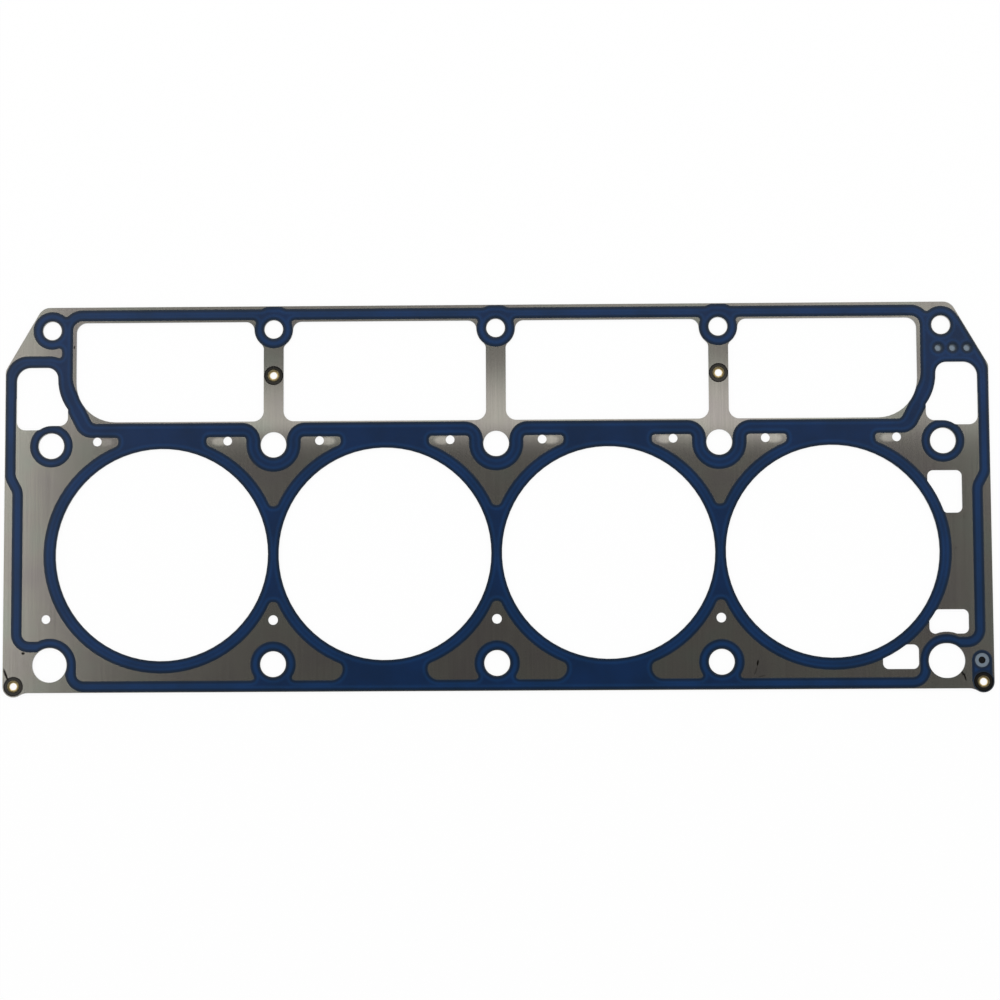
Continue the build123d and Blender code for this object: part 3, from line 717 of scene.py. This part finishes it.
count = len(top_plan)
faces = [tuple(f) for f in top_faces.tolist()]
faces += [(c + count, b + count, a + count) for a, b, c in low_faces.tolist()]
below = {(round(x, RIM_DIGITS), round(y, RIM_DIGITS)): count + i for i, (x, y) in enumerate(low_plan)}
under = [below.get((round(x, RIM_DIGITS), round(y, RIM_DIGITS))) for x, y in top_plan]
directed = {(f[i], f[(i + 1) % 3]) for f in top_faces.tolist() for i in range(3)}
rim = sorted((a, b) for a, b in directed if (b, a) not in directed)
faces += [(b, a, under[a], under[b]) for a, b in rim]
print("rim faces:", len(rim), "open:", sum(1 for a, b in rim if under[a] is None or under[b] is None))

# %% [markdown]
# ## The film as a piece
# The film takes the place of the CAD print, and carries its distance from the
# edge to the blue material as an attribute, one number for every vertex.

# %% sealing film
sealing_film = new_piece("sealing_film", points, faces, rubber)
carried = sealing_film.data.attributes.new("edge_distance", "FLOAT", "POINT")
carried.data.foreach_set("value", np.concatenate((distance, np.zeros(len(low_plan)))).astype(np.float32))
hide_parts("sealing_print")
print("sealing film:", len(points), "points,", len(faces), "faces")

# %% [markdown]
# ## Brass, drawn and rolled
# The rivets are cut from drawn brass tube. Brass keeps the pale gold of its zinc.
# Rings of colour round each rivet's axis make it palest on the inner lip and
# darker outward to the rim's edge, and a fine noise dulls them unevenly.

# %% brass
LIP_MM, RIM_MM = 1.7, 3.1
TARNISH_PER_MM = 0.9

brass, t = new_material("brass_drawn_and_rolled")
in_mm = in_millimetres(t)
ring = add(t, "ShaderNodeMapRange", {0: from_rivet(t, in_mm)}, {"From Min": LIP_MM, "From Max": RIM_MM})
rolled = add(t, "ShaderNodeValToRGB", {0: ring},
             stops=((0.0, "F2E2B4"), (0.2, "D6BE86"), (0.42, "95865F"), (0.8, "7C7258"), (1.0, "544E40")))
tarnish = add(t, "ShaderNodeTexNoise", {"Vector": in_mm}, {"Scale": TARNISH_PER_MM, "Detail": 3.0})
dulling = add(t, "ShaderNodeValToRGB", {0: tarnish}, stops=((0.35, "C4BDB0"), (0.65, "FFFFFF")))
ring_tone_and_tarnish = add(t, "ShaderNodeMix", {UNDER: rolled, OVER: dulling}, {SHARE: 1.0},
           blend_type="MULTIPLY", **COLOURS)
shader = add(t, "ShaderNodeBsdfPrincipled", {"Base Color": ring_tone_and_tarnish}, {"Metallic": 1.0, "Roughness": 0.35})
add(t, "ShaderNodeOutputMaterial", {0: shader})
print("brass nodes:", len(t.nodes))

# %% [markdown]
# ## Hollow rivets
# Each rivet is a short brass tube whose ends are rolled outward by a punch. The
# roll is a smooth trumpet shape, so the piece turns one curved profile round the
# rivet's axis: a quarter of an ellipse for the lip, then the rim's edge and its
# underside, and the same again mirrored for the lower end.

# %% rivets
TURNS = 48
RIVET_LOW, RIVET_HIGH = 0.03, 1.22
BORE_R, LIP_WIDTH = 1.75, 0.85
LIP_FROM = 0.35  # height above the rivet's middle at which the tube starts to flare
LIP_PARTS = 8
# radius and height above the rivet's middle, from the rim's edge to the tube's outside
OUTSIDE = [(2.9, 0.59), (3.02, 0.55), (3.05, 0.5), (3.0, 0.475), (2.6, 0.475), (2.2, 0.4)]

middle = (RIVET_LOW + RIVET_HIGH) / 2
half_profile = []
for i in range(LIP_PARTS + 1):
    a = math.radians(90 * i / LIP_PARTS)
    half_profile.append((BORE_R + LIP_WIDTH * (1 - math.cos(a)),
                         LIP_FROM + (RIVET_HIGH - middle - LIP_FROM) * math.sin(a)))
half_profile += OUTSIDE
profile = [(r, middle + z) for r, z in half_profile] + [(r, middle - z) for r, z in reversed(half_profile)]
size = len(profile)
points, faces = [], []
for x, y in [(s * x, y) for x, y in RIVET_PLACES for s in (-1, 1)]:
    first = len(points)
    for k in range(TURNS):
        a = 2 * math.pi * k / TURNS
        points += [(x + r * math.cos(a), y + r * math.sin(a), z) for r, z in profile]
    for k in range(TURNS):
        here, there = first + k * size, first + (k + 1) % TURNS * size
        faces += [(here + i, here + (i + 1) % size, there + (i + 1) % size, there + i) for i in range(size)]
rolled_rivets = new_piece("rolled_rivets", points, faces, brass)
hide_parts("rivets")
print("rivets:", len(faces), "faces")

# %% [markdown]
# ## The floor
# The gasket lies on white paper, which keeps its thin shadow. A paper lit only by
# lamps would turn grey wherever their light is uneven, so most of its white
# glows by itself for the rays that see it, from the camera or by a mirroring
# edge, and the rest is lit like any other paper.

# %% floor
HALF_FLOOR = 6.0  # metres
FLOOR_DROP = 0.0001  # metres below the gasket's underside, so that the two faces never coincide
GLOW_SHARE = 0.9

floor_mesh = bpy.data.meshes.new("floor")
corners = ((-1, -1), (1, -1), (1, 1), (-1, 1))
floor_points = [(x * HALF_FLOOR, y * HALF_FLOOR, -FLOOR_DROP) for x, y in corners]
floor_mesh.from_pydata(floor_points, [], [(0, 1, 2, 3)])
floor = bpy.data.objects.new("floor", floor_mesh)
scene.collection.objects.link(floor)
floor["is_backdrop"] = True
paper, t = new_material("white_paper")
camera_ray, glossy_ray = (
    add(t, "ShaderNodeLightPath", out=f"Is {kind} Ray") for kind in ("Camera", "Glossy"))
seen = add(t, "ShaderNodeMath", {0: camera_ray, 1: glossy_ray}, operation="MAXIMUM")
glowing = add(t, "ShaderNodeMath", {0: seen}, {1: GLOW_SHARE}, operation="MULTIPLY")
diffuse = add(t, "ShaderNodeBsdfDiffuse", values={"Color": linear("FAFAFA")})
glow = add(t, "ShaderNodeEmission", values={"Strength": 1.0})
mixed = add(t, "ShaderNodeMixShader", {0: glowing, 1: diffuse, 2: glow})
add(t, "ShaderNodeOutputMaterial", {0: mixed})
floor_mesh.materials.append(paper)
print("floor, m:", 2 * HALF_FLOOR)

# %% [markdown]
# ## Softboxes
# Three softboxes hang under the ceiling and face straight down: one to the left,
# a wide one at the upper right and a dim one to the right. The steel mirrors
# them towards the gasket's ends, so it looks brighter there than in the middle.

# %% softboxes
HANG_HEIGHT = 1.5
# x, y in metres, turn in degrees, width and depth in metres, watts
SOFTBOXES = {
    "softbox_left": (-1.03, 0.28, 0, 1.0, 0.8, 4.2),
    "softbox_top": (0.45, 0.80, -7, 1.9, 0.9, 6.4),
    "softbox_right": (1.0, 0.1, 0, 0.8, 1.2, 1.8),
}
for name, (x, y, turn, width, depth, watts) in SOFTBOXES.items():
    data = bpy.data.lights.new(name, "AREA")
    data.shape = "RECTANGLE"
    data.size, data.size_y = width, depth
    data.energy = watts
    lamp = bpy.data.objects.new(name, data)
    lamp.location = (x, y, HANG_HEIGHT)
    lamp.rotation_euler = (0, 0, math.radians(turn))
    scene.collection.objects.link(lamp)
print("softboxes:", len(SOFTBOXES))

# %% [markdown]
# ## The room
# The steel is a half-mirror that faces the ceiling, so a dark ceiling between
# bright walls turns it grey. The world's brightness follows how steeply a ray
# climbs. The camera itself sees plain white, so that no wall shows behind.

# %% world
WALLS_TO, CEILING_FROM = 0.8, 0.94  # the upright part of a ray's direction
WALL_LIGHT, CEILING_LIGHT = 1.19, 0.13

world = bpy.data.worlds.new("studio")
scene.world = world
world.use_nodes = True
t = world.node_tree
t.nodes.clear()
up = add(t, "ShaderNodeSeparateXYZ", {0: add(t, "ShaderNodeTexCoord", out="Generated")}, out="Z")
brightness = add(t, "ShaderNodeMapRange", {0: up}, interpolation_type="SMOOTHSTEP", values={
    "From Min": WALLS_TO, "From Max": CEILING_FROM, "To Min": WALL_LIGHT, "To Max": CEILING_LIGHT})
room = add(t, "ShaderNodeBackground", {"Strength": brightness})
plain = add(t, "ShaderNodeBackground", values={"Strength": 1.0, "Color": linear("FFFFFF")})
camera_ray = add(t, "ShaderNodeLightPath", out="Is Camera Ray")
both = add(t, "ShaderNodeMixShader", {0: camera_ray, 1: room, 2: plain})
add(t, "ShaderNodeOutputWorld", {0: both})
scene.view_settings.view_transform = "Standard"
print("world nodes:", len(t.nodes))

# %% [markdown]
# ## Sizes
# The last cell prints the dressed box, round every shown part but the floor, in
# millimetres.

# %% sizes
low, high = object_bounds()
print("dressed box, mm:", [round(v / MM, 2) for v in (*low, *high)])
